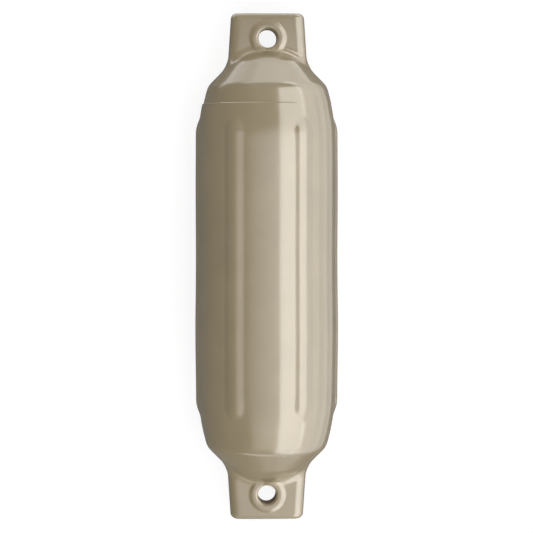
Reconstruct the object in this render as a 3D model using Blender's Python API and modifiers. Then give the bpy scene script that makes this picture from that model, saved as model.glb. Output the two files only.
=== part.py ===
"""Inflatable boat fender: a ribbed moulded vinyl cylinder with a rope eye in a flat tab at each end.

Run it with  blender --background --python part.py  or from Blender's text editor.
Metres, +Z up. The fender lies on its side along Y, as it comes to rest on a deck, with the flat
faces of its tabs level. The soft wall settles there on a narrow flat spot between two ribs. The
shapes are first made round the Y axis of the world. The empty "fender_frame" then carries them at
the height of that flat spot, so the origin ends up under the middle of the fender, on the deck.
"""

import math

import bmesh
import bpy
from mathutils import Matrix, Vector

# Overall sizes
LENGTH = 0.508                # from the tip of one tab to the tip of the other
BODY_RADIUS = 0.0688          # plain wall between the ribs

# Profile of the ends, from the plain wall to the tip of the dome
TAPER_RADIUS = 0.194          # long easy curve that draws the plain wall in
TAPER_ANGLE = math.radians(15.8)
SHOULDER_RADIUS = 0.0192
FLANK_ANGLE = math.radians(40.3)
CREASE_INSET = 0.0148         # from the plain wall in to where the flank breaks into the cone
CONE_ANGLE = math.radians(46.7)
CONE_RADIUS = 0.040           # where the straight cone gives way to the round tip of the dome
DOME_SETBACK = 0.0369         # from the tip of the tab to the tip of the dome under it

# Narrow flat spot along the bottom, where the soft wall settles under the fender's weight
FLAT_SPOT_DEPTH = 0.0005

# Mould parting line near one end, where the parts of the mould met slightly out of line
PARTING_SETBACK = 0.0903      # from the tip of the tab
PARTING_SHIFT = 0.0007        # sideways
PARTING_STEP = 0.0005         # in radius

# Ribs
RIB_COUNT = 6
RIB_HEIGHT = 0.0024           # proud of the plain wall
RIB_WIDTH = 0.0185            # from foot to foot
RIB_SETBACK = 0.1210          # from the tip of the tab to the end of a rib's straight run
RIB_NOSE = 0.023              # length of the round nose that ends it, most of it sunk in the wall

# Eye tabs
TAB_WIDTH = 0.0728            # at the tip, measured across its rounded sides
TAB_LEAN = 0.065              # how far each side leans out for each metre away from the tip
TAB_THICKNESS = 0.026
TAB_SIDE_ROUNDING = 0.0105
TAB_END_ROUNDING = 0.0055
TAB_FILLET = 0.0065           # where the tab runs into the dome

# Rope eyes and the collars round them
EYE_RADIUS = 0.0093
EYE_ROUNDING = 0.0028         # of the rim that the rope bears on
EYE_SETBACK = 0.0252          # from the tip of the tab to the middle of the eye
COLLAR_RADIUS = 0.0186
COLLAR_HEIGHT = 0.0025        # proud of each face of the tab
COLLAR_ROOT = 0.001           # how far its slope runs on below the face

# Stub of vinyl left on the end of one tab where the mould was filled
NIB_RADIUS = 0.0025
NIB_HEIGHT = 0.0010
NIB_OFFSET = 0.0125           # sideways from the middle of the tab

# Inflation valve, let into the underside of the dome at the end with the parting line
VALVE_SETBACK = 0.0600        # from the tip of the tab
SEAT_DEPTH = 0.0024           # of the flat round pocket that its flange lies in
FLANGE_RADIUS = 0.0115
FLANGE_THICKNESS = 0.0016
BUSH_RADIUS = 0.0085
BUSH_LENGTH = 0.0180          # below the flange
SCREW_HEAD_RADIUS = 0.0062
SCREW_HEAD_THICKNESS = 0.0022
SCREW_SHANK_RADIUS = 0.0036
SCREW_SHANK_LENGTH = 0.0110
SLOT_WIDTH = 0.0016
SLOT_DEPTH = 0.0012
SEAL_THICKNESS = 0.0014
SEAL_WIDTH = 0.0016           # across its section, from its hole to its rim

CLEARANCE = 0.0003            # between pieces that touch
BURY = 0.003                  # how far a shape runs into the one that it is joined to

# Fineness of the facets
BODY_STEPS = 72
ARC_STEP = math.radians(8.0)
TAPER_STEP = math.radians(3.0)
RIB_STEPS = 44
TAB_CORNER_STEPS = 5
FILLET_STEPS = 4
EYE_STEPS = 36
COLLAR_ARC_STEPS = 6
VALVE_STEPS = 32
NIB_STEPS = 16
RIB_NOSE_STEPS = 9

HALF_LENGTH = LENGTH / 2
HALF_TAB = TAB_THICKNESS / 2

# From the deck to the fender's axis
REST_HEIGHT = BODY_RADIUS - FLAT_SPOT_DEPTH

# From the axis to the crease between the dome's flank and its cone
CREASE_RADIUS = BODY_RADIUS - CREASE_INSET

VINYL = (0.39, 0.33, 0.24)
NYLON = (0.62, 0.60, 0.55)
SEAL_RUBBER = (0.03, 0.03, 0.032)


def clear_scene():
    for obj in list(bpy.data.objects):
        bpy.data.objects.remove(obj, do_unlink=True)


def new_collection(name):
    made = bpy.data.collections.new(name)
    bpy.context.scene.collection.children.link(made)
    return made


def new_material(name, colour, roughness):
    made = bpy.data.materials.new(name)
    made.use_nodes = True
    shader = made.node_tree.nodes["Principled BSDF"]
    shader.inputs["Base Color"].default_value = (*colour, 1.0)
    shader.inputs["Roughness"].default_value = roughness
    shader.inputs["Metallic"].default_value = 0.0
    made.diffuse_color = (*colour, 1.0)
    return made


def new_object(name, mesh, home):
    obj = bpy.data.objects.new(name, mesh)
    home.objects.link(obj)
    return obj


def apply_modifiers(obj):
    """The object's evaluated mesh becomes its own, with doubled points joined and normals outward."""
    graph = bpy.context.evaluated_depsgraph_get()
    mesh = bpy.data.meshes.new_from_object(obj.evaluated_get(graph))
    obj.modifiers.clear()
    obj.data = mesh
    work = bmesh.new()
    work.from_mesh(mesh)
    bmesh.ops.remove_doubles(work, verts=work.verts, dist=0.000001)
    bmesh.ops.recalc_face_normals(work, faces=work.faces)
    work.to_mesh(mesh)
    work.free()


def join(target, other, operation):
    """Adds a Boolean with the other object, which becomes a hidden helper."""
    boolean = target.modifiers.new(other.name, "BOOLEAN")
    boolean.operation = operation
    boolean.solver = "EXACT"
    boolean.object = other
    other.hide_render = True
    other.display_type = "WIRE"


def shade_smooth(obj):
    obj.data.shade_smooth()
    obj.data.set_sharp_from_angle(angle=math.radians(32.0))


def arc(centre, radius, start, end, step=ARC_STEP):
    """Points on an arc from one angle to another, both ends included."""
    count = max(1, round(abs(end - start) / step))
    turns = [start + (end - start) * i / count for i in range(count + 1)]
    return [(centre[0] + radius * math.cos(a), centre[1] + radius * math.sin(a)) for a in turns]


def turned(name, profile, home, steps, closed=False, turn=0.0):
    """A solid turned about Z from (radius, height) points. A closed profile makes a ring."""
    count = len(profile)
    edges = [(i, i + 1) for i in range(count - 1)] + ([(count - 1, 0)] if closed else [])
    mesh = bpy.data.meshes.new(name)
    mesh.from_pydata([(radius, 0.0, height) for radius, height in profile], edges, [])
    mesh.transform(Matrix.Rotation(turn, 4, "Z"))
    obj = new_object(name, mesh, home)
    screw = obj.modifiers.new("turn", "SCREW")
    screw.axis = "Z"
    screw.steps = steps
    screw.render_steps = steps
    screw.use_merge_vertices = True
    screw.merge_threshold = 0.00001
    apply_modifiers(obj)
    return obj


# Turns Z to Y: a profile's height becomes the distance along the fender
ALONG_Y = Matrix.Rotation(-math.pi / 2, 4, "X")


def end_profile():
    """(radius, distance along Y) from the tip of the dome to where the taper meets the plain wall."""
    tip_radius = CONE_RADIUS / math.cos(CONE_ANGLE)
    tip_centre = HALF_LENGTH - DOME_SETBACK - tip_radius
    points = arc((0.0, tip_centre), tip_radius, math.pi / 2, CONE_ANGLE)

    crease_height = dome_height(CREASE_RADIUS)
    points.append((CREASE_RADIUS, crease_height))

    taper_centre = BODY_RADIUS - TAPER_RADIUS
    shoulder_centre = taper_centre + (TAPER_RADIUS - SHOULDER_RADIUS) * math.cos(TAPER_ANGLE)
    flank_end = shoulder_centre + SHOULDER_RADIUS * math.cos(FLANK_ANGLE)
    flank_drop = (flank_end - CREASE_RADIUS) / math.tan(FLANK_ANGLE)
    shoulder_height = crease_height - flank_drop - SHOULDER_RADIUS * math.sin(FLANK_ANGLE)
    points += arc((shoulder_centre, shoulder_height), SHOULDER_RADIUS, FLANK_ANGLE, TAPER_ANGLE)

    taper_height = shoulder_height - (TAPER_RADIUS - SHOULDER_RADIUS) * math.sin(TAPER_ANGLE)
    points += arc((taper_centre, taper_height), TAPER_RADIUS, TAPER_ANGLE, 0.0, TAPER_STEP)[1:]
    return points


def profile_point(height):
    """The point of the end profile at this distance along Y."""
    points = end_profile()
    for (r0, y0), (r1, y1) in zip(points, points[1:]):
        if y1 <= height <= y0:
            return r0 + (r1 - r0) * (y0 - height) / (y0 - y1), height
    return BODY_RADIUS, height


def dome_height(radius):
    """How far along Y the dome or its cone is at this radius."""
    tip_radius = CONE_RADIUS / math.cos(CONE_ANGLE)
    tip_centre = HALF_LENGTH - DOME_SETBACK - tip_radius
    if radius < CONE_RADIUS:
        return tip_centre + math.sqrt(tip_radius**2 - radius**2)
    cone_start = tip_centre + tip_radius * math.sin(CONE_ANGLE)
    return cone_start - (radius - CONE_RADIUS) / math.tan(CONE_ANGLE)


PARTING_HEIGHT = HALF_LENGTH - PARTING_SETBACK
# The end beyond the parting line is this much smaller all over
CAP_SCALE = 1.0 - PARTING_STEP / profile_point(PARTING_HEIGHT)[0]


def cap_height(x, z):
    """How far along Y the smaller dome is at this place across it."""
    return dome_height(math.hypot(x, z) / CAP_SCALE)


def make_wall(helpers):
    """The turned wall up to the parting line, and the slightly smaller end beyond it."""
    far_end = [(radius, -height) for radius, height in reversed(end_profile())]
    near_end = [p for p in end_profile() if p[1] < PARTING_HEIGHT]
    flat = [(0.0, PARTING_HEIGHT), profile_point(PARTING_HEIGHT)]
    half_step = math.pi / BODY_STEPS
    wall = turned("wall", flat + near_end + far_end, helpers, BODY_STEPS, turn=half_step)
    wall.data.transform(ALONG_Y)

    outside = [p for p in end_profile() if p[1] > PARTING_HEIGHT]
    rim_radius, rim_height = profile_point(PARTING_HEIGHT)
    inside = [(rim_radius, rim_height), (rim_radius, rim_height - PARTING_STEP)]
    inside += [(rim_radius - 3 * BURY, rim_height - BURY), (0.0, rim_height - BURY)]
    cap_profile = [(radius * CAP_SCALE, height) for radius, height in outside + inside]
    cap = turned("cap", cap_profile, helpers, BODY_STEPS, turn=half_step)
    cap.data.transform(Matrix.Translation((PARTING_SHIFT, 0.0, 0.0)) @ ALONG_Y)
    join(wall, cap, "UNION")
    return wall


def make_rib(number, helpers):
    """A round rod with bullet ends, sunk so that only its crest stands proud of the wall."""
    half_width = RIB_WIDTH / 2
    wall_sagitta = BODY_RADIUS - math.sqrt(BODY_RADIUS**2 - half_width**2)
    crest = RIB_HEIGHT + wall_sagitta
    rod_radius = (half_width**2 + crest**2) / (2 * crest)
    straight_end = HALF_LENGTH - RIB_SETBACK
    quarter = arc((0.0, 0.0), 1.0, math.pi / 2, 0.0, math.pi / 2 / RIB_NOSE_STEPS)
    nose = [(rod_radius * across, straight_end + RIB_NOSE * along) for across, along in quarter]
    profile = nose + [(radius, -height) for radius, height in reversed(nose)]
    rib = turned(f"rib_{number + 1}", profile, helpers, RIB_STEPS)
    out = BODY_RADIUS + RIB_HEIGHT - rod_radius
    about_y = Matrix.Rotation(2 * math.pi * number / RIB_COUNT, 4, "Y")
    rib.data.transform(about_y @ Matrix.Translation((out, 0.0, 0.0)) @ ALONG_Y)
    return rib


def tab_section(half_width, half_thickness, rounding):
    """(x, z) points round a rounded rectangle."""
    quarter = math.pi / 2
    points = []
    for corner, (side, face) in enumerate(((1, 1), (-1, 1), (-1, -1), (1, -1))):
        centre = (side * (half_width - rounding), face * (half_thickness - rounding))
        start = corner * quarter
        points += arc(centre, rounding, start, start + quarter, quarter / TAB_CORNER_STEPS)
    return points


def grown_section(setback, growth):
    """The tab's section at this distance from its tip, grown outward all round."""
    half_width = TAB_WIDTH / 2 + TAB_LEAN * setback
    return tab_section(half_width + growth, HALF_TAB + growth, TAB_SIDE_ROUNDING + growth)


def make_tab(name, helpers):
    """The tab as a loft from its rounded end to the fillet that runs out on the dome."""
    tip = HALF_LENGTH
    rings = []
    for i in range(TAB_CORNER_STEPS + 1):
        turn = math.pi / 2 * i / TAB_CORNER_STEPS
        setback = TAB_END_ROUNDING * (1 - math.cos(turn))
        section = grown_section(setback, -TAB_END_ROUNDING * (1 - math.sin(turn)))
        rings.append([(x, tip - setback, z) for x, z in section])

    foot_setback = DOME_SETBACK + TAB_FILLET
    meets = [cap_height(x, z) for x, z in grown_section(foot_setback, 0.0)]
    lands = [cap_height(x, z) for x, z in grown_section(foot_setback, TAB_FILLET)]
    for i in range(FILLET_STEPS + 1):
        t = i / FILLET_STEPS
        ring = []
        for (x, z), low, far in zip(grown_section(foot_setback, TAB_FILLET * t * t), meets, lands):
            height = (1 - t) ** 2 * (low + TAB_FILLET) + 2 * t * (1 - t) * low + t * t * far
            ring.append((x, height, z))
        rings.append(ring)
    rings.append([(x, y - BURY, z) for x, y, z in rings[-1]])
    root = dome_height(CONE_RADIUS) - 4 * BURY
    rings.append([(x / 2, root, z / 2) for x, y, z in rings[-1]])
    return loft(name, rings, helpers)


def loft(name, rings, home):
    """A closed skin through rings of the same number of points, with flat ends."""
    work = bmesh.new()
    loops = [[work.verts.new(point) for point in ring] for ring in rings]
    count = len(loops[0])
    for one, two in zip(loops, loops[1:]):
        for i in range(count):
            work.faces.new((one[i], one[(i + 1) % count], two[(i + 1) % count], two[i]))
    work.faces.new(loops[0])
    work.faces.new(loops[-1])
    bmesh.ops.recalc_face_normals(work, faces=work.faces)
    mesh = bpy.data.meshes.new(name)
    work.to_mesh(mesh)
    work.free()
    return new_object(name, mesh, home)


def make_collar(name, helpers):
    """The raised ring round the eye, through the whole tab: a round rim, then a long easy slope."""
    top = HALF_TAB + COLLAR_HEIGHT
    crest = EYE_RADIUS + EYE_ROUNDING
    run = COLLAR_RADIUS - crest
    slope_radius = (run**2 + COLLAR_HEIGHT**2) / (2 * COLLAR_HEIGHT)
    root = math.asin((slope_radius - COLLAR_HEIGHT - COLLAR_ROOT) / slope_radius)
    rim = (crest, top - EYE_ROUNDING)
    upper = arc(rim, EYE_ROUNDING, math.pi, math.pi / 2, math.pi / 2 / COLLAR_ARC_STEPS)
    slope = (crest, top - slope_radius)
    slope_step = (math.pi / 2 - root) / COLLAR_ARC_STEPS
    upper += arc(slope, slope_radius, math.pi / 2, root, slope_step)[1:]
    lower = [(radius, -height) for radius, height in reversed(upper)]
    return turned(name, upper + lower, helpers, EYE_STEPS, closed=True)


def make_eye_cutter(name, helpers):
    """Clears the tab inside the collar's thickness, so that the collar alone forms the hole."""
    radius = (EYE_RADIUS + COLLAR_RADIUS) / 2
    reach = HALF_TAB + BURY
    return turned(name, [(0.0, reach), (radius, reach), (radius, -reach), (0.0, -reach)], helpers, EYE_STEPS)


def make_flat_spot_cutter(helpers):
    """A block whose top face is the deck."""
    work = bmesh.new()
    bmesh.ops.create_cube(work, size=1.0)
    mesh = bpy.data.meshes.new("flat_spot")
    work.to_mesh(mesh)
    work.free()
    width = 2 * BODY_RADIUS
    mesh.transform(Matrix.Diagonal((width, LENGTH, BODY_RADIUS, 1.0)))
    mesh.transform(Matrix.Translation((0.0, 0.0, -REST_HEIGHT - BODY_RADIUS / 2)))
    return new_object("flat_spot", mesh, helpers)


def make_nib(helpers):
    foot = HALF_LENGTH - BURY
    end = HALF_LENGTH + NIB_HEIGHT
    chamfer = NIB_HEIGHT / 2
    profile = [(0.0, -foot), (NIB_RADIUS, -foot), (NIB_RADIUS, chamfer - end)]
    profile += [(NIB_RADIUS - chamfer, -end), (0.0, -end)]
    nib = turned("nib", profile, helpers, NIB_STEPS)
    nib.data.transform(Matrix.Translation((NIB_OFFSET, 0.0, 0.0)) @ ALONG_Y)
    return nib


def valve_frame():
    """Where the valve's flange lies: Z points out of the dome, square to the cone."""
    height = HALF_LENGTH - VALVE_SETBACK
    radius = profile_point(height)[0] * CAP_SCALE
    out = Vector((0.0, math.sin(CONE_ANGLE), -math.cos(CONE_ANGLE)))
    centre = Vector((PARTING_SHIFT, height, -radius)) - out * SEAT_DEPTH
    return Matrix.Translation(centre) @ Vector((0.0, 0.0, 1.0)).rotation_difference(out).to_matrix().to_4x4()


def make_valve_pocket(helpers):
    """The pocket for the flange, and below it the blind bore for the bush."""
    flange = FLANGE_RADIUS + CLEARANCE
    bore = BUSH_RADIUS + CLEARANCE
    floor = -BUSH_LENGTH - 2 * CLEARANCE
    reach = SEAT_DEPTH + 2 * BURY
    profile = [(0.0, reach), (flange, reach), (flange, 0.0), (bore, 0.0), (bore, floor), (0.0, floor)]
    pocket = turned("valve_pocket", profile, helpers, VALVE_STEPS)
    pocket.data.transform(valve_frame())
    return pocket


def make_body(parts, helpers, finish):
    body = make_wall(helpers)
    for number in range(RIB_COUNT):
        join(body, make_rib(number, helpers), "UNION")
    ends = (("near", Matrix.Translation((PARTING_SHIFT, 0.0, 0.0))), ("far", Matrix.Rotation(math.pi, 4, "Z")))
    for end, place in ends:
        tab = make_tab(f"tab_{end}", helpers)
        eye = make_eye_cutter(f"eye_cutter_{end}", helpers)
        collar = make_collar(f"collar_{end}", helpers)
        eye_place = place @ Matrix.Translation((0.0, HALF_LENGTH - EYE_SETBACK, 0.0))
        tab.data.transform(place)
        eye.data.transform(eye_place)
        collar.data.transform(eye_place)
        join(body, tab, "UNION")
        join(body, eye, "DIFFERENCE")
        join(body, collar, "UNION")
    join(body, make_nib(helpers), "UNION")
    join(body, make_flat_spot_cutter(helpers), "DIFFERENCE")
    join(body, make_valve_pocket(helpers), "DIFFERENCE")
    apply_modifiers(body)
    helpers.objects.unlink(body)
    parts.objects.link(body)
    body.name = "fender_body"
    body.data.materials.append(finish)
    shade_smooth(body)
    return body


def head_pocket_floor():
    """Height above the flange's seat of the floor that the seal lies on, inside the bush."""
    return FLANGE_THICKNESS + CLEARANCE - SCREW_HEAD_THICKNESS - SEAL_THICKNESS - 2 * CLEARANCE


def make_valve_bush(parts, finish):
    """The flanged nylon bush moulded into the vinyl, bored for the screw and its head."""
    top = FLANGE_THICKNESS + CLEARANCE
    bore = SCREW_SHANK_RADIUS + CLEARANCE
    head = SCREW_HEAD_RADIUS + CLEARANCE
    floor = head_pocket_floor()
    profile = [(head, top), (FLANGE_RADIUS, top), (FLANGE_RADIUS, CLEARANCE), (BUSH_RADIUS, CLEARANCE)]
    profile += [(BUSH_RADIUS, -BUSH_LENGTH), (bore, -BUSH_LENGTH), (bore, floor), (head, floor)]
    bush = turned("valve_bush", profile, parts, VALVE_STEPS, closed=True)
    bush.data.materials.append(finish)
    shade_smooth(bush)
    return bush


def make_valve_screw(parts, helpers, finish):
    """The slotted plug screw that closes the valve."""
    top = FLANGE_THICKNESS + CLEARANCE
    under = top - SCREW_HEAD_THICKNESS
    end = under - SCREW_SHANK_LENGTH
    chamfer = SCREW_SHANK_RADIUS / 4
    profile = [(0.0, top), (SCREW_HEAD_RADIUS, top), (SCREW_HEAD_RADIUS, under)]
    profile += [(SCREW_SHANK_RADIUS, under), (SCREW_SHANK_RADIUS, end + chamfer)]
    profile += [(SCREW_SHANK_RADIUS - chamfer, end), (0.0, end)]
    screw = turned("valve_screw", profile, parts, VALVE_STEPS)

    work = bmesh.new()
    bmesh.ops.create_cube(work, size=1.0)
    slot_mesh = bpy.data.meshes.new("slot")
    work.to_mesh(slot_mesh)
    work.free()
    across = 3 * SCREW_HEAD_RADIUS
    slot_mesh.transform(Matrix.Diagonal((across, SLOT_WIDTH, 2 * SLOT_DEPTH, 1.0)))
    slot_mesh.transform(Matrix.Translation((0.0, 0.0, top)))
    slot = new_object("slot", slot_mesh, helpers)
    join(screw, slot, "DIFFERENCE")
    apply_modifiers(screw)
    screw.data.materials.append(finish)
    shade_smooth(screw)
    return screw


def make_valve_seal(parts, finish):
    """The rubber washer between the screw's head and the bush."""
    inner = SCREW_SHANK_RADIUS + CLEARANCE
    outer = inner + SEAL_WIDTH
    low = head_pocket_floor() + CLEARANCE
    high = low + SEAL_THICKNESS
    round_off = SEAL_THICKNESS / 4
    profile = [(inner, high), (outer - round_off, high), (outer, high - round_off)]
    profile += [(outer, low + round_off), (outer - round_off, low), (inner, low)]
    seal = turned("valve_seal", profile, parts, VALVE_STEPS, closed=True)
    seal.data.materials.append(finish)
    shade_smooth(seal)
    return seal


def main():
    clear_scene()
    parts = new_collection("boat_fender")
    helpers = new_collection("helpers")
    vinyl = new_material("sand_vinyl", VINYL, 0.3)
    nylon = new_material("pale_nylon", NYLON, 0.4)
    rubber = new_material("seal_rubber", SEAL_RUBBER, 0.6)

    frame = bpy.data.objects.new("fender_frame", None)
    parts.objects.link(frame)
    frame.location = (0.0, NIB_HEIGHT / 2, REST_HEIGHT)

    body = make_body(parts, helpers, vinyl)
    bush = make_valve_bush(parts, nylon)
    screw = make_valve_screw(parts, helpers, nylon)
    seal = make_valve_seal(parts, rubber)
    for piece in (bush, screw, seal):
        piece.matrix_basis = valve_frame()
    for helper in list(helpers.objects):
        helper.parent = frame
    for piece in (body, bush, screw, seal):
        piece.parent = frame


main()
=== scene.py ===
"""Looks of the inflatable boat fender: its vinyl skin, the finish of its valve and a white studio.

The fender's skin is one closed mesh, made here from the sizes of the solid that it stands for. A
function gives the distance of any point to the skin. The long wall is a grid of rings drawn onto it,
and each end is a net of small cells drawn onto it, so that every edge and fillet is round.
"""

import math

import bmesh
import bpy
import numpy as np
from mathutils import Matrix, Vector


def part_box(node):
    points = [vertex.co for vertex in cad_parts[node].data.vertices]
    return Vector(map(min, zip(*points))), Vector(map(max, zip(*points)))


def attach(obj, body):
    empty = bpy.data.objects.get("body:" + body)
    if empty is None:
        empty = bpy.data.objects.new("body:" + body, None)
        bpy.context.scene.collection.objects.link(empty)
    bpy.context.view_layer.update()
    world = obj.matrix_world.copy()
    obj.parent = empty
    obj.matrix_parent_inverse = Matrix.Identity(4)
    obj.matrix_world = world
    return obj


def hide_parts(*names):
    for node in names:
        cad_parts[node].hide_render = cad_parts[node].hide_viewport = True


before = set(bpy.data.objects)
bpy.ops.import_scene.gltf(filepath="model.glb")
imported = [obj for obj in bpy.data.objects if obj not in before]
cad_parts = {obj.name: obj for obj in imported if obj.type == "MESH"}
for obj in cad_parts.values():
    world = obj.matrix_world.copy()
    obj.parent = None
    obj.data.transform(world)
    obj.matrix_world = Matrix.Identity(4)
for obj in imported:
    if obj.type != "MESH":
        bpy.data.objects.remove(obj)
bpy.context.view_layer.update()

# Sizes of the fender, in metres
LENGTH = 0.508
BODY_RADIUS = 0.0688
TAPER_RADIUS = 0.194
TAPER_ANGLE = math.radians(15.8)
CONE_RADIUS = 0.040
DOME_SETBACK = 0.0357
FLAT_SPOT_DEPTH = 0.0005
PARTING_SETBACK = 0.0903
PARTING_SHIFT = 0.0007
PARTING_STEP = 0.0005
RIB_COUNT = 6
RIB_HEIGHT = 0.0024
RIB_WIDTH = 0.0185
RIB_SETBACK = 0.1210
RIB_NOSE = 0.023
TAB_WIDTH = 0.0728
TAB_LEAN = 0.065
TAB_THICKNESS = 0.026
TAB_END_ROUNDING = 0.0055
TAB_FILLET = 0.0065
EYE_RADIUS = 0.0093
EYE_ROUNDING = 0.0028
EYE_SETBACK = 0.0252
COLLAR_HEIGHT = 0.0021
COLLAR_FLAT_RADIUS = 0.0139
COLLAR_ROUNDING = 0.0032
NIB_RADIUS = 0.0025
NIB_HEIGHT = 0.0010
NIB_OFFSET = 0.0125
VALVE_SETBACK = 0.0600
VALVE_RADIUS = 0.0473
VALVE_TILT = math.radians(46.7)
SEAT_DEPTH = 0.0024
FLANGE_RADIUS = 0.0115
BUSH_RADIUS = 0.0085
BUSH_LENGTH = 0.0180
CLEARANCE = 0.0003

# The tab's round sides run easily into its faces: a power of 2 would make them plain arcs
TAB_SIDE_EASE = 0.0122
TAB_SIDE_POWER = 2.8

# Radius of the faint crown across the tab's faces
TAB_CROWN = 0.8

# The solid's cone and flank are one gently drawn slope here, with a crease where the shoulder starts
CONE_ANGLE = math.radians(44.8)
CREASE_RADIUS = 0.0579
SHOULDER_RADIUS = 0.0215

# Softness of the edges that moulding leaves
RIB_FOOT_BLEND = 0.0014
COLLAR_FILLET = 0.0022
CREASE_ROUNDING = 0.0003
FLAT_SPOT_BLEND = 0.0004
PARTING_BLEND = 0.0012
NIB_ROUNDING = 0.0004

# The soft wall swells a little here, as (distance along Y, height, reach)
SWELLS = ((0.075, 0.0003, 0.045), (-0.065, 0.0007, 0.045))

# Rings of the wall, which lie closer together from a little before the ends of the ribs
AROUND = 360
WALL_SPACING = 0.0036
END_SPACING = 0.0020
PLAIN_END_SETBACK = 0.004
PARTING_RINGS = 8

# Net of cells over each end, and where it meets the rings
CELL = 0.00115
CELL_MARGIN = 3 * CELL
STITCH_SETBACK = 0.078
CUT_SNAP = 0.0001

# A face whose middle lies further from the skin than this belongs to the valve's pocket
SKIN_TOLERANCE = 0.0002

HALF_LENGTH = LENGTH / 2
HALF_TAB = TAB_THICKNESS / 2
PARTING_HEIGHT = HALF_LENGTH - PARTING_SETBACK
STITCH_HEIGHT = HALF_LENGTH - STITCH_SETBACK

# The end profile, as (distance from the axis, distance from the middle) of each arc's centre
TIP_RADIUS = CONE_RADIUS / math.cos(CONE_ANGLE)
TIP_CENTRE = HALF_LENGTH - DOME_SETBACK - TIP_RADIUS
CONE_HEIGHT = TIP_CENTRE + TIP_RADIUS * math.sin(CONE_ANGLE)
TAPER_CENTRE = BODY_RADIUS - TAPER_RADIUS
SHOULDER_CENTRE = TAPER_CENTRE + (TAPER_RADIUS - SHOULDER_RADIUS) * math.cos(TAPER_ANGLE)
CREASE_HEIGHT = CONE_HEIGHT - (CREASE_RADIUS - CONE_RADIUS) / math.tan(CONE_ANGLE)
SHOULDER_ANGLE = math.acos((CREASE_RADIUS - SHOULDER_CENTRE) / SHOULDER_RADIUS)
SHOULDER_HEIGHT = CREASE_HEIGHT - SHOULDER_RADIUS * math.sin(SHOULDER_ANGLE)
TAPER_HEIGHT = SHOULDER_HEIGHT - (TAPER_RADIUS - SHOULDER_RADIUS) * math.sin(TAPER_ANGLE)

# The end beyond the parting line is this much smaller all over
PARTING_RADIUS = TAPER_CENTRE + math.sqrt(TAPER_RADIUS**2 - (PARTING_HEIGHT - TAPER_HEIGHT) ** 2)
CAP_SCALE = 1.0 - PARTING_STEP / PARTING_RADIUS

# Each rib is a round rod, sunk so that only its crest stands proud
RIB_SAGITTA = BODY_RADIUS - math.sqrt(BODY_RADIUS**2 - (RIB_WIDTH / 2) ** 2)
RIB_CREST = RIB_HEIGHT + RIB_SAGITTA
ROD_RADIUS = ((RIB_WIDTH / 2) ** 2 + RIB_CREST**2) / (2 * RIB_CREST)
ROD_CENTRE = BODY_RADIUS + RIB_HEIGHT - ROD_RADIUS
RIB_END = HALF_LENGTH - RIB_SETBACK

# A collar is a round rim at the eye, then a narrow flat, then a round edge down to the tab's face
COLLAR_CREST = EYE_RADIUS + EYE_ROUNDING
COLLAR_TOP = HALF_TAB + COLLAR_HEIGHT

# The fender's axis, from the box of the solid that lies on the floor
REST_HEIGHT = BODY_RADIUS - FLAT_SPOT_DEPTH
BODY_LOW, BODY_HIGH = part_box("fender_body")
AXIS = Vector((0.0, (BODY_LOW[1] + BODY_HIGH[1] + NIB_HEIGHT) / 2, BODY_LOW[2] + REST_HEIGHT))


def round_union(one, two, radius):
    """Both shapes, with a round fillet where they meet."""
    corner = np.hypot(np.maximum(radius - one, 0.0), np.maximum(radius - two, 0.0))
    return np.maximum(radius, np.minimum(one, two)) - corner


def round_overlap(one, two, radius):
    """What both shapes share, with its edge rounded off."""
    corner = np.hypot(np.maximum(radius + one, 0.0), np.maximum(radius + two, 0.0))
    return np.minimum(-radius, np.maximum(one, two)) + corner


def blended(one, two, width):
    """Both shapes, run together over this width."""
    near = np.maximum(width - np.abs(one - two), 0.0) / width
    return np.minimum(one, two) - near * near * width / 4


def wall_distance(radius, height):
    """Distance to the turned wall and dome, at this distance from the axis and from the middle.

    Past the arc of the shoulder only the cone counts, so the shoulder is put well inside it there.
    """
    taper_turn = np.arctan2(height - TAPER_HEIGHT, radius - TAPER_CENTRE)
    shoulder_turn = np.arctan2(height - SHOULDER_HEIGHT, radius - SHOULDER_CENTRE)
    tip_turn = np.arctan2(height - TIP_CENTRE, radius)
    cone = (radius - CONE_RADIUS) * math.cos(CONE_ANGLE) + (height - CONE_HEIGHT) * math.sin(CONE_ANGLE)
    shoulder = np.hypot(radius - SHOULDER_CENTRE, height - SHOULDER_HEIGHT) - SHOULDER_RADIUS
    shoulder = np.where(shoulder_turn <= CONE_ANGLE, shoulder, cone - 1.0)
    places = (
        taper_turn <= 0.0,
        taper_turn <= TAPER_ANGLE,
        tip_turn <= CONE_ANGLE,
    )
    distances = (
        radius - BODY_RADIUS,
        np.hypot(radius - TAPER_CENTRE, height - TAPER_HEIGHT) - TAPER_RADIUS,
        round_overlap(shoulder, cone, CREASE_ROUNDING),
    )
    return np.select(places, distances, np.hypot(radius, height - TIP_CENTRE) - TIP_RADIUS)


def rib_distance(x, height, z):
    """Distance to the nearest rib, whose ends are bullets."""
    pitch = 2 * math.pi / RIB_COUNT
    turn = np.arctan2(z, x)
    turn = turn - pitch * np.round(turn / pitch)
    radius = np.hypot(x, z)
    across = np.hypot(radius * np.cos(turn) - ROD_CENTRE, radius * np.sin(turn)) / ROD_RADIUS
    along = np.maximum(height - RIB_END, 0.0) / RIB_NOSE
    reach = np.hypot(across, along)
    slope = np.hypot(across / ROD_RADIUS, along / RIB_NOSE)
    return reach * (reach - 1.0) / np.maximum(slope, 1.0)


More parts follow.
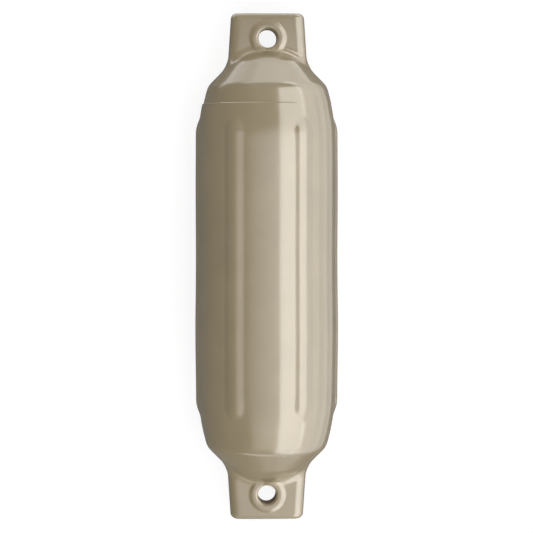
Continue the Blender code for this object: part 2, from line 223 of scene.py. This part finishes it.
def tab_distance(x, setback, z):
    """Distance to the eye tab, without its collar."""
    side = np.abs(x) - TAB_WIDTH / 2 - TAB_LEAN * setback + TAB_SIDE_EASE
    face = np.abs(z) - HALF_TAB + x * x / (2 * TAB_CROWN) + TAB_SIDE_EASE
    corner = np.maximum(side, 0.0) ** TAB_SIDE_POWER + np.maximum(face, 0.0) ** TAB_SIDE_POWER
    corner = np.maximum(corner, 1e-12) ** (1.0 / TAB_SIDE_POWER)
    section = corner + np.minimum(np.maximum(side, face), 0.0) - TAB_SIDE_EASE
    return round_overlap(section, -setback, TAB_END_ROUNDING)


def collar_distance(from_eye, z):
    """Distance to the collar, at this distance from the middle of its eye."""
    rim = np.hypot(from_eye - COLLAR_CREST, np.maximum(np.abs(z) - COLLAR_TOP + EYE_ROUNDING, 0.0))
    past_flat = np.maximum(from_eye - COLLAR_FLAT_RADIUS, 0.0)
    edge = np.hypot(past_flat, np.maximum(np.abs(z) - COLLAR_TOP + COLLAR_ROUNDING, 0.0))
    return np.where(from_eye < COLLAR_CREST, rim - EYE_ROUNDING, edge - COLLAR_ROUNDING)


def swell(y):
    """How far the soft wall stands out past its moulded form."""
    return sum(height * np.exp(-(((y - place) / reach) ** 2)) for place, height, reach in SWELLS)


def skin_distance(points):
    """Distance of each point to the fender's skin, below zero inside it. The fender lies along Y."""
    x, y, z = points.T
    # Beyond the parting line the mould's other half was a little smaller and off to one side
    step = np.clip((y - PARTING_HEIGHT) / PARTING_BLEND + 0.5, 0.0, 1.0)
    step = step * step * (3.0 - 2.0 * step)
    x = x - PARTING_SHIFT * step
    height = np.abs(y)
    setback = HALF_LENGTH - height
    slack = 1.0 - swell(y) / BODY_RADIUS
    scale = slack / (1.0 - (1.0 - CAP_SCALE) * step)
    skin = wall_distance(np.hypot(x, z) * scale, height)
    skin = blended(skin, rib_distance(x * slack, height, z * slack), RIB_FOOT_BLEND)
    skin = round_union(skin, tab_distance(x, setback, z), TAB_FILLET)
    skin = -blended(-skin, z + REST_HEIGHT, FLAT_SPOT_BLEND)

    from_eye = np.hypot(x, setback - EYE_SETBACK)
    skin = np.maximum(skin, COLLAR_CREST - from_eye)
    skin = round_union(skin, collar_distance(from_eye, z), COLLAR_FILLET)

    nib = round_overlap(np.hypot(x - NIB_OFFSET, z) - NIB_RADIUS, -setback - NIB_HEIGHT, NIB_ROUNDING)
    return np.where(y < 0.0, np.minimum(skin, nib), skin)


def slopes(points, reach=0.00005):
    """Which way the distance grows at each point, as unit vectors."""
    found = np.empty_like(points)
    for axis in range(3):
        offset = np.zeros(3)
        offset[axis] = reach
        found[:, axis] = skin_distance(points + offset) - skin_distance(points - offset)
    return found / np.maximum(np.linalg.norm(found, axis=1, keepdims=True), 1e-12)


def drawn_onto_skin(points, rounds=4):
    """The points, moved along the slope onto the skin."""
    for _ in range(rounds):
        points = points - skin_distance(points)[:, None] * slopes(points)
    return points


def drawn_along_spokes(turns, heights, rounds=8, step=0.0001):
    """The skin's points straight out from the axis at these angles and distances along it."""
    out = np.stack([np.cos(turns), np.zeros_like(turns), np.sin(turns)], axis=-1)
    start = np.stack([np.zeros_like(turns), heights, np.zeros_like(turns)], axis=-1)
    radius = np.full(turns.shape, BODY_RADIUS)
    for _ in range(rounds):
        here = skin_distance(start + radius[:, None] * out)
        there = skin_distance(start + (radius + step)[:, None] * out)
        radius = radius - here * step / np.maximum(there - here, step / 10)
    return start + radius[:, None] * out


def wall_stations():
    """Distances along the fender of the wall's rings, closest together at the parting line."""
    plain_end = RIB_END - PLAIN_END_SETBACK
    middle = np.linspace(-plain_end, plain_end, round(2 * plain_end / WALL_SPACING) + 1)
    end = np.linspace(plain_end, STITCH_HEIGHT, round((STITCH_HEIGHT - plain_end) / END_SPACING) + 1)[1:]
    reach = 0.7 * PARTING_BLEND
    parting = np.linspace(PARTING_HEIGHT - reach, PARTING_HEIGHT + reach, PARTING_RINGS)
    near_end = end[np.abs(end - PARTING_HEIGHT) > 1.5 * reach]
    return np.sort(np.concatenate([-end, middle, near_end, parting]))


def cell_net(low, high):
    """Points and quads of a net, with one point in each cell of this block that the skin crosses."""
    counts = [math.ceil((b - a) / CELL) for a, b in zip(low, high)]
    axes = [a + CELL * np.arange(count + 1) for a, count in zip(low, counts)]
    corners = np.stack(np.meshgrid(*axes, indexing="ij"), axis=-1)
    inside = (skin_distance(corners.reshape(-1, 3)) < 0.0).reshape(corners.shape[:3])

    whole = np.ones(counts, bool)
    empty = np.ones(counts, bool)
    for i, j, k in np.ndindex(2, 2, 2):
        part = inside[i : i + counts[0], j : j + counts[1], k : k + counts[2]]
        whole &= part
        empty &= ~part
    crossed = ~(whole | empty)
    number = np.full(counts, -1)
    number[crossed] = np.arange(crossed.sum())
    points = np.argwhere(crossed) * CELL + np.array(low) + CELL / 2

    quads = []
    for axis in range(3):
        one = (axis + 1) % 3
        two = (axis + 2) % 3
        first = np.moveaxis(inside, (axis, one, two), (0, 1, 2))
        cells = np.moveaxis(number, (axis, one, two), (0, 1, 2))
        leaves = first[:-1, 1:-1, 1:-1]
        enters = first[1:, 1:-1, 1:-1]
        for mask, order in ((leaves & ~enters, 1), (~leaves & enters, -1)):
            a, b, c = np.nonzero(mask)
            ring = [cells[a, b, c], cells[a, b + 1, c], cells[a, b + 1, c + 1], cells[a, b, c + 1]]
            quads.append(np.stack(ring[::order], axis=1))
    return points, np.concatenate(quads)


def relaxed(points, quads, rounds=3):
    """Evens out the net's points over the skin."""
    edges = np.concatenate([quads[:, [i, (i + 1) % 4]] for i in range(4)])
    for _ in range(rounds):
        total = np.zeros_like(points)
        count = np.zeros(len(points))
        for one, two in ((0, 1), (1, 0)):
            np.add.at(total, edges[:, one], points[edges[:, two]])
            np.add.at(count, edges[:, one], 1.0)
        points = drawn_onto_skin(total / np.maximum(count, 1.0)[:, None], 2)
    return points


def add_end(work, side):
    """Adds the dome, tab and eye at one end, and returns the ring of points along its cut, by angle."""
    width = BODY_RADIUS + CELL_MARGIN
    reach = HALF_LENGTH + NIB_HEIGHT + CELL_MARGIN
    start = STITCH_HEIGHT - CELL_MARGIN
    near, far = (start, reach) if side > 0 else (-reach, -start)
    points, quads = cell_net((-width, near, -width), (width, far, width))
    points = relaxed(drawn_onto_skin(points), quads)

    verts = [work.verts.new(point) for point in points]
    faces = [work.faces.new([verts[i] for i in quad]) for quad in quads]
    edges = list(dict.fromkeys(edge for face in faces for edge in face.edges))
    cut = bmesh.ops.bisect_plane(
        work,
        geom=verts + faces + edges,
        dist=CUT_SNAP,
        plane_co=(0.0, side * STITCH_HEIGHT, 0.0),
        plane_no=(0.0, -side, 0.0),
        clear_outer=True,
    )
    ring = [item for item in cut["geom_cut"] if isinstance(item, bmesh.types.BMVert)]
    exact = drawn_along_spokes(
        np.array([math.atan2(v.co.z, v.co.x) for v in ring]),
        np.full(len(ring), side * STITCH_HEIGHT),
    )
    for vert, point in zip(ring, exact):
        vert.co = point
    return sorted(ring, key=lambda v: math.atan2(v.co.z, v.co.x))


def stitch(work, one, two):
    """Fills between two rings of points sorted by angle, with a triangle for each step along one."""
    turn = [[math.atan2(v.co.z, v.co.x) for v in ring] for ring in (one, two)]
    turn = [angles + [angles[0] + 2 * math.pi] for angles in turn]
    i = j = 0
    while i < len(one) or j < len(two):
        a = one[i % len(one)]
        b = two[j % len(two)]
        if j == len(two) or (i < len(one) and turn[0][i + 1] <= turn[1][j + 1]):
            work.faces.new((a, b, one[(i + 1) % len(one)]))
            i += 1
        else:
            work.faces.new((a, b, two[(j + 1) % len(two)]))
            j += 1


def make_skin():
    """The wall's rings, the two ends and the seams between them, as one closed mesh."""
    work = bmesh.new()
    stations = wall_stations()[1:-1]
    turns = -math.pi + 2 * math.pi * (np.arange(AROUND) + 0.5) / AROUND
    rings = []
    for height in stations:
        points = drawn_along_spokes(turns, np.full(AROUND, height))
        rings.append([work.verts.new(point) for point in points])
    for one, two in zip(rings, rings[1:]):
        for i in range(AROUND):
            after = (i + 1) % AROUND
            work.faces.new((one[i], one[after], two[after], two[i]))
    stitch(work, rings[0], add_end(work, -1.0))
    stitch(work, rings[-1], add_end(work, 1.0))
    bmesh.ops.recalc_face_normals(work, faces=work.faces)
    mesh = bpy.data.meshes.new("vinyl_skin")
    work.to_mesh(mesh)
    work.free()
    return mesh


def valve_place():
    """Where the valve's flange lies, with Z pointing out of the dome."""
    out = Vector((0.0, math.sin(VALVE_TILT), -math.cos(VALVE_TILT)))
    centre = Vector((PARTING_SHIFT, HALF_LENGTH - VALVE_SETBACK, -VALVE_RADIUS)) - out * SEAT_DEPTH
    turn = Vector((0.0, 0.0, 1.0)).rotation_difference(out)
    return Matrix.Translation(centre) @ turn.to_matrix().to_4x4()


def make_valve_pocket():
    """The cutter for the valve's seat and bore, turned about its own Z."""
    flange = FLANGE_RADIUS + CLEARANCE
    bore = BUSH_RADIUS + CLEARANCE
    floor = -BUSH_LENGTH - 2 * CLEARANCE
    reach = 3 * SEAT_DEPTH
    profile = [(0.0, reach), (flange, reach), (flange, 0.0), (bore, 0.0), (bore, floor), (0.0, floor)]
    work = bmesh.new()
    verts = [work.verts.new((radius, 0.0, height)) for radius, height in profile]
    edges = [work.edges.new(pair) for pair in zip(verts, verts[1:])]
    bmesh.ops.spin(
        work,
        geom=verts + edges,
        axis=(0, 0, 1),
        cent=(0, 0, 0),
        steps=64,
        angle=2 * math.pi,
        use_merge=True,
    )
    bmesh.ops.remove_doubles(work, verts=work.verts, dist=0.000001)
    bmesh.ops.recalc_face_normals(work, faces=work.faces)
    mesh = bpy.data.meshes.new("valve_pocket")
    work.to_mesh(mesh)
    work.free()
    mesh.transform(valve_place())
    pocket = bpy.data.objects.new("valve_pocket", mesh)
    bpy.context.scene.collection.objects.link(pocket)
    return pocket


def give_smooth_normals(mesh):
    """Shades the skin by its exact slope, and the valve's pocket by its flat and round walls."""
    corner_count = len(mesh.loops)
    corners = np.empty(corner_count, np.int64)
    mesh.loops.foreach_get("vertex_index", corners)
    places = np.empty(len(mesh.vertices) * 3)
    mesh.vertices.foreach_get("co", places)
    places = places.reshape(-1, 3)
    centres = np.empty(len(mesh.polygons) * 3)
    mesh.polygons.foreach_get("center", centres)
    flat = np.empty(len(mesh.polygons) * 3)
    mesh.polygons.foreach_get("normal", flat)
    sizes = np.empty(len(mesh.polygons), np.int64)
    mesh.polygons.foreach_get("loop_total", sizes)

    on_skin = np.abs(skin_distance(centres.reshape(-1, 3))) < SKIN_TOLERANCE
    on_skin = np.repeat(on_skin, sizes)
    pocket = np.repeat(flat.reshape(-1, 3), sizes, axis=0)
    normals = np.where(on_skin[:, None], slopes(places)[corners], pocket)
    mesh.shade_smooth()
    mesh.normals_split_custom_set(normals.tolist())


def make_fender_skin(finish):
    """The dressed body, with the valve's pocket cut into it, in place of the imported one."""
    skin = bpy.data.objects.new("vinyl_skin", make_skin())
    bpy.context.scene.collection.objects.link(skin)
    pocket = make_valve_pocket()
    cut = skin.modifiers.new("valve_pocket", "BOOLEAN")
    cut.operation = "DIFFERENCE"
    cut.solver = "EXACT"
    cut.object = pocket
    graph = bpy.context.evaluated_depsgraph_get()
    mesh = bpy.data.meshes.new_from_object(skin.evaluated_get(graph))
    skin.modifiers.clear()
    skin.data = mesh
    bpy.data.objects.remove(pocket, do_unlink=True)
    give_smooth_normals(mesh)
    mesh.transform(Matrix.Translation(AXIS))
    mesh.materials.clear()
    mesh.materials.append(finish)
    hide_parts("fender_body")
    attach(skin, "root")
    return skin


# Finishes
VINYL_DARK = (0.297, 0.240, 0.148)
VINYL_PALE = (0.330, 0.268, 0.168)
VINYL_IOR = 1.52
NYLON_DARK = (0.56, 0.54, 0.49)
NYLON_PALE = (0.66, 0.64, 0.59)
RUBBER_DARK = (0.022, 0.022, 0.024)
RUBBER_PALE = (0.045, 0.045, 0.048)

# Between these distances outside an eye's wall, its dull finish gives way to the gloss
DULL_REACH = (0.0003, 0.0012)

# Noise hardly ever leaves this range
NOISE_RANGE = (0.3, 0.7)


class Nodes:
    """A new material's node tree, with short calls that add nodes and links."""

    def __init__(self, name):
        self.material = bpy.data.materials.new(name)
        self.material.use_nodes = True
        self.tree = self.material.node_tree
        self.shader = self.tree.nodes["Principled BSDF"]
        self.place = self.add("ShaderNodeTexCoord").outputs["Object"]

    def add(self, kind, **settings):
        """A new node of this kind."""
        node = self.tree.nodes.new(kind)
        for name, value in settings.items():
            setattr(node, name, value)
        return node

    def link(self, start, end):
        self.tree.links.new(start, end)

    def noise(self, size, detail=2.0, roughness=0.5, stretch=(1.0, 1.0, 1.0)):
        """Noise whose lumps are about this many metres across."""
        scale = self.add("ShaderNodeMapping")
        scale.inputs["Scale"].default_value = stretch
        self.link(self.place, scale.inputs["Vector"])
        node = self.add("ShaderNodeTexNoise")
        node.inputs["Scale"].default_value = 1.0 / size
        node.inputs["Detail"].default_value = detail
        node.inputs["Roughness"].default_value = roughness
        self.link(scale.outputs["Vector"], node.inputs["Vector"])
        return node.outputs["Fac"]

    def between(self, factor, low, high):
        """A number that runs from low to high with the noise."""
        node = self.add("ShaderNodeMapRange")
        node.inputs["From Min"].default_value = NOISE_RANGE[0]
        node.inputs["From Max"].default_value = NOISE_RANGE[1]
        node.inputs["To Min"].default_value = low
        node.inputs["To Max"].default_value = high
        self.link(factor, node.inputs["Value"])
        return node.outputs["Result"]

    def colours(self, factor, low, high):
        """A colour that runs from low at a factor of 0 to high at 1."""
        node = self.add("ShaderNodeMix", data_type="RGBA")
        node.inputs["A"].default_value = (*low, 1.0)
        node.inputs["B"].default_value = (*high, 1.0)
        self.link(factor, node.inputs["Factor"])
        return node.outputs["Result"]

    def dull_in_eyes(self, roughness, dull):
        """This roughness, but dull inside the eyes, where the line rubs."""
        distances = self.add("ShaderNodeMath", operation="MINIMUM")
        for i, side in enumerate((-1.0, 1.0)):
            flat = self.add("ShaderNodeVectorMath", operation="MULTIPLY")
            flat.inputs[1].default_value = (1.0, 1.0, 0.0)
            self.link(self.place, flat.inputs[0])
            away = self.add("ShaderNodeVectorMath", operation="DISTANCE")
            away.inputs[1].default_value = (AXIS.x, AXIS.y + side * (HALF_LENGTH - EYE_SETBACK), 0.0)
            self.link(flat.outputs["Vector"], away.inputs[0])
            self.link(away.outputs["Value"], distances.inputs[i])
        outside = self.add("ShaderNodeMapRange")
        outside.inputs["From Min"].default_value = EYE_RADIUS + DULL_REACH[0]
        outside.inputs["From Max"].default_value = EYE_RADIUS + DULL_REACH[1]
        self.link(distances.outputs["Value"], outside.inputs["Value"])
        mixed = self.add("ShaderNodeMix", data_type="FLOAT")
        mixed.inputs["A"].default_value = dull
        self.link(roughness, mixed.inputs["B"])
        self.link(outside.outputs["Result"], mixed.inputs["Factor"])
        return mixed.outputs["Result"]

    def bump(self, height, depth, under=None):
        """A bump of this depth in metres, over an earlier one."""
        node = self.add("ShaderNodeBump")
        node.inputs["Strength"].default_value = 1.0
        node.inputs["Distance"].default_value = depth
        self.link(height, node.inputs["Height"])
        if under:
            self.link(under, node.inputs["Normal"])
        return node.outputs["Normal"]


def vinyl_finish():
    """Glossy sand-coloured moulded vinyl, faintly mottled and with a little orange peel."""
    nodes = Nodes("sand_vinyl")
    mottle = nodes.noise(0.045, detail=4.0, roughness=0.6)
    shade = nodes.colours(nodes.between(mottle, 0.0, 1.0), VINYL_DARK, VINYL_PALE)
    nodes.link(shade, nodes.shader.inputs["Base Color"])
    haze = nodes.between(nodes.noise(0.02, detail=3.0), 0.15, 0.2)
    nodes.link(nodes.dull_in_eyes(haze, 0.8), nodes.shader.inputs["Roughness"])
    waves = nodes.bump(nodes.noise(0.03, detail=1.0, stretch=(1.0, 0.4, 1.0)), 0.00012)
    peel = nodes.bump(nodes.noise(0.0022, detail=2.0), 0.000012, waves)
    nodes.link(peel, nodes.shader.inputs["Normal"])
    nodes.shader.inputs["IOR"].default_value = VINYL_IOR
    return nodes.material


def nylon_finish():
    """Pale moulded nylon with a fine satin grain."""
    nodes = Nodes("pale_nylon")
    cloud = nodes.noise(0.004, detail=3.0)
    shade = nodes.colours(nodes.between(cloud, 0.0, 1.0), NYLON_DARK, NYLON_PALE)
    nodes.link(shade, nodes.shader.inputs["Base Color"])
    nodes.link(nodes.between(cloud, 0.36, 0.46), nodes.shader.inputs["Roughness"])
    nodes.link(nodes.bump(nodes.noise(0.0006, detail=2.0), 0.00001), nodes.shader.inputs["Normal"])
    return nodes.material


def rubber_finish():
    """Black seal rubber with a dull bloom."""
    nodes = Nodes("seal_rubber")
    bloom = nodes.noise(0.002, detail=3.0)
    shade = nodes.colours(nodes.between(bloom, 0.0, 1.0), RUBBER_DARK, RUBBER_PALE)
    nodes.link(shade, nodes.shader.inputs["Base Color"])
    nodes.link(nodes.between(bloom, 0.55, 0.7), nodes.shader.inputs["Roughness"])
    return nodes.material


# Camera, almost straight above the fender
CAMERA_DISTANCE = 2.4
CAMERA_LEAN_X = math.radians(-2.0)
CAMERA_LEAN_Y = math.radians(2.39)
VIEW_SPAN = 0.5367
SENSOR = 36.0
VIEW_MIDDLE = AXIS + Vector((-0.0002, 0.0003, 0.0))

# The long panels beside the fender: how far off, and from where to where along Y
PANEL_DISTANCE = 1.3
PANEL_NEAR = 1.3
PANEL_FAR = -3.2

# How far above the floor the pale cards lie that only gloss shows
CARD_HEIGHT = 0.003

# White surroundings and floor. The floor lies just clear of the fender's flat spot.
WORLD_BRIGHTNESS = 0.22
FLOOR_SIZE = 12.0
FLOOR_DROP = 0.0002
FLOOR_COLOUR = (0.27, 0.27, 0.27)
FLOOR_GLOW = 0.80
FLOOR_GLOW_IN_GLOSS = 0.03


def make_camera():
    """Looks down on the fender from almost straight above, with +Y up in the picture."""
    away = Vector((math.tan(CAMERA_LEAN_X), math.tan(CAMERA_LEAN_Y), 1.0)).normalized()
    up = Vector((0.0, 1.0, 0.0))
    up = (up - up.dot(away) * away).normalized()
    turn = Matrix((up.cross(away), up, away)).transposed()
    lens = bpy.data.cameras.new("camera")
    lens.sensor_width = SENSOR
    lens.lens = SENSOR * CAMERA_DISTANCE / VIEW_SPAN
    camera = bpy.data.objects.new("camera", lens)
    camera.matrix_world = Matrix.Translation(VIEW_MIDDLE + away * CAMERA_DISTANCE) @ turn.to_4x4()
    bpy.context.scene.collection.objects.link(camera)
    bpy.context.scene.camera = camera


def make_panel(name, middle, target, width, height, brightness, spread=180.0, along=(0.0, 1.0, 0.0)):
    """A rectangular soft light of this brightness, turned to the target, its height along this way.

    A spread below 180 degrees makes it fade towards its edges, as a grid in front of it does.
    """
    lamp = bpy.data.lights.new(name, "AREA")
    lamp.shape = "RECTANGLE"
    lamp.size = width
    lamp.size_y = height
    lamp.spread = math.radians(spread)
    # With this power a panel of brightness 1 looks as bright as a white surface does
    lamp.energy = brightness * math.pi * width * height
    if spread < 180.0:
        half = math.radians(spread / 2)
        lamp.energy *= 1.0 - half / math.tan(half)
    back = (Vector(middle) - Vector(target)).normalized()
    up = Vector(along)
    up = (up - up.dot(back) * back).normalized()
    turn = Matrix((up.cross(back), up, back)).transposed()
    panel = bpy.data.objects.new(name, lamp)
    panel.matrix_world = Matrix.Translation(middle) @ turn.to_4x4()
    bpy.context.scene.collection.objects.link(panel)
    return panel


def make_side_panel(name, low_turn, high_turn, brightness, spread=180.0, near=PANEL_NEAR):
    """A long panel beside the fender, between these two angles from straight above it, in degrees."""
    turn = math.radians(low_turn + high_turn) / 2
    along = (near + PANEL_FAR) / 2
    middle = (PANEL_DISTANCE * math.sin(turn), along, PANEL_DISTANCE * math.cos(turn))
    width = 2 * PANEL_DISTANCE * math.tan(math.radians(high_turn - low_turn) / 2)
    return make_panel(name, middle, (0.0, along, 0.0), width, near - PANEL_FAR, brightness, spread)


def make_floor_panel(name, left, right, far, near, brightness):
    """A panel that lies on the floor and shines upwards, between these edges."""
    middle = Vector(((left + right) / 2, (far + near) / 2, CARD_HEIGHT))
    above = middle + Vector((0.0, 0.0, 1.0))
    return make_panel(name, middle, above, right - left, near - far, brightness)


def make_lights():
    """Long panels that are seen only in gloss make the streak, and broad ones light the colour."""
    upright = (0.0, 0.0, 1.0)
    gloss = (
        make_side_panel("streak", 19.0, 66.0, 6.7),
        make_side_panel("low_streak", 62.0, 90.0, 4.4, near=4.0),
        make_side_panel("overhead", -40.0, 80.0, 3.4, spread=120.0, near=0.31),
        make_panel("near_sky", (0.0, 1.3, 1.2), (0.0, 0.2, 0.1), 1.6, 1.4, 0.6),
        make_panel("far_sky", (0.0, -1.3, 1.2), (0.0, -0.2, 0.1), 1.6, 1.4, 1.0),
        make_panel("near_end", (0.1, 1.4, 0.165), (0.1, 0.2, 0.165), 1.6, 0.33, 3.5, along=upright),
        make_panel("far_end", (0.2, -1.4, 0.165), (0.2, -0.2, 0.165), 1.8, 0.33, 3.4, along=upright),
        make_floor_panel("near_card", -0.3, 0.24, 0.3, 1.5, 2.5),
        make_floor_panel("side_card", 0.24, 1.4, -1.5, 1.5, 3.0),
        make_floor_panel("low_side_card", 0.14, 0.24, -1.5, 0.3, 1.4),
    )
    for panel in gloss:
        panel.visible_diffuse = False
        panel.visible_camera = False
    soft = (
        make_panel("key", (0.1, 0.0, 2.4), (0.0, 0.0, 0.0), 1.6, 2.0, 3.0),
        make_panel("side", (2.2, 0.0, 0.4), (0.0, 0.0, 0.0), 1.6, 0.8, 3.9, along=upright),
        make_panel("fill", (-2.2, 0.0, 0.6), (0.0, 0.0, 0.0), 1.6, 0.8, 1.1, along=upright),
        make_panel("front", (0.2, 2.1, 0.6), (0.0, 0.2, 0.1), 1.6, 1.0, 3.0),
        make_panel("back", (0.3, -2.0, 0.8), (0.0, -0.2, 0.1), 1.6, 1.0, 3.8),
    )
    for panel in soft:
        panel.visible_glossy = False


def make_world():
    """Even white surroundings."""
    world = bpy.data.worlds.new("studio")
    world.use_nodes = True
    back = world.node_tree.nodes["Background"]
    back.inputs["Color"].default_value = (1.0, 1.0, 1.0, 1.0)
    back.inputs["Strength"].default_value = WORLD_BRIGHTNESS
    bpy.context.scene.world = world


def make_floor():
    """A white sweep. Its glow is seen directly, and fainter in gloss, and lights nothing."""
    nodes = Nodes("white_sweep")
    nodes.shader.inputs["Base Color"].default_value = (*FLOOR_COLOUR, 1.0)
    nodes.shader.inputs["Roughness"].default_value = 0.9
    nodes.shader.inputs["Specular IOR Level"].default_value = 0.0
    path = nodes.add("ShaderNodeLightPath")
    indirect = nodes.add("ShaderNodeMath", operation="MAXIMUM")
    nodes.link(path.outputs["Is Glossy Ray"], indirect.inputs[0])
    nodes.link(path.outputs["Is Transmission Ray"], indirect.inputs[1])
    faint = nodes.add("ShaderNodeMath", operation="MULTIPLY")
    nodes.link(indirect.outputs["Value"], faint.inputs[0])
    faint.inputs[1].default_value = FLOOR_GLOW_IN_GLOSS
    direct = nodes.add("ShaderNodeMath", operation="MULTIPLY")
    nodes.link(path.outputs["Is Camera Ray"], direct.inputs[0])
    direct.inputs[1].default_value = FLOOR_GLOW
    glow = nodes.add("ShaderNodeMath", operation="MAXIMUM")
    nodes.link(faint.outputs["Value"], glow.inputs[0])
    nodes.link(direct.outputs["Value"], glow.inputs[1])
    nodes.shader.inputs["Emission Color"].default_value = (1.0, 1.0, 1.0, 1.0)
    nodes.link(glow.outputs["Value"], nodes.shader.inputs["Emission Strength"])

    work = bmesh.new()
    bmesh.ops.create_grid(work, x_segments=1, y_segments=1, size=FLOOR_SIZE / 2)
    mesh = bpy.data.meshes.new("floor")
    work.to_mesh(mesh)
    work.free()
    mesh.materials.append(nodes.material)
    floor = bpy.data.objects.new("floor", mesh)
    floor.location.z = -FLOOR_DROP
    bpy.context.scene.collection.objects.link(floor)


def finish_node(name, finish, edge):
    """Gives a solid of the frame its finish and softens its sharp edges by this width."""
    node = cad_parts[name]
    for slot in node.material_slots:
        slot.material = finish
    bevel = node.modifiers.new("soft_edges", "BEVEL")
    bevel.width = edge
    bevel.segments = 2
    bevel.limit_method = "ANGLE"
    bevel.angle_limit = math.radians(40.0)
    bevel.harden_normals = False


def main():
    """Builds the scene."""
    make_camera()
    make_world()
    make_lights()
    make_floor()
    make_fender_skin(vinyl_finish())
    nylon = nylon_finish()
    finish_node("valve_bush", nylon, 0.00025)
    finish_node("valve_screw", nylon, 0.0002)
    finish_node("valve_seal", rubber_finish(), 0.00015)
    bpy.context.scene.view_settings.view_transform = "Standard"


main()
